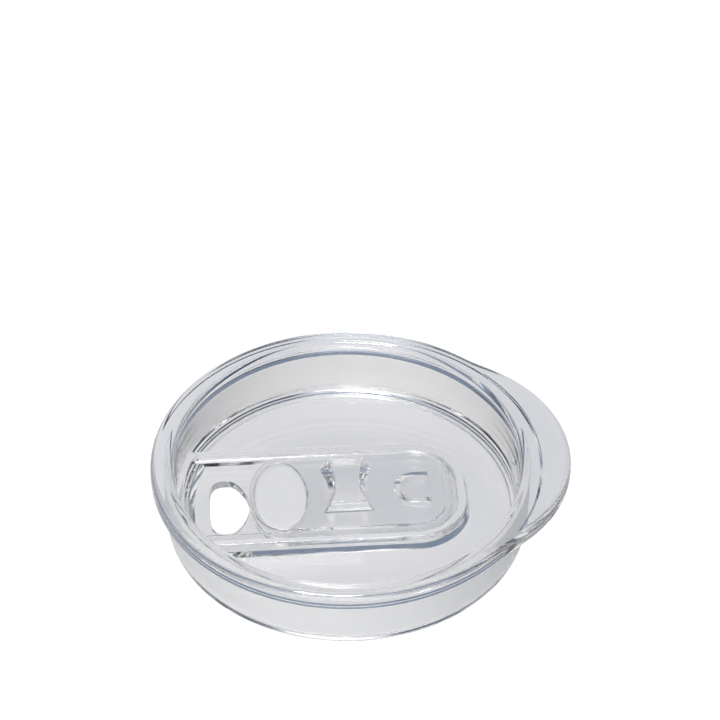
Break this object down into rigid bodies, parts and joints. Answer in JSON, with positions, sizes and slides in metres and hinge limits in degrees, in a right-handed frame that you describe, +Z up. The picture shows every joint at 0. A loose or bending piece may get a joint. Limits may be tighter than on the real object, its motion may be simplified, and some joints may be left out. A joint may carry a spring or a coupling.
{
  "type": "slide closure drinking lid",
  "caption": "Clear press-in tumbler lid with a thumb tab, a sip hole and a sliding closure that runs in a raised U-shaped track.",
  "frame": {"origin": "Centre of the plug's bottom edge, in the plane that the lid stands on.", "axes": "+Z is up, out of the cup. +X runs along the slide track from the sip hole to the thumb tab. +Y is across the track."},
  "size_m": [0.0963, 0.09, 0.0174],
  "materials": {
    "clear_plastic": "clear moulded copolyester, polished",
    "silicone": "translucent silicone, satin"
  },
  "bodies": {
    "lid": {"lid_body": "clear_plastic", "plug_gasket": "silicone"},
    "slide": {"slider": "clear_plastic", "slider_seal": "silicone"}
  },
  "joints": [
    {"name": "slider_slide", "type": "slide", "parent": "lid", "child": "slide", "axis": [-1, 0, 0], "range_m": [0, 0.0118]}
  ]
}
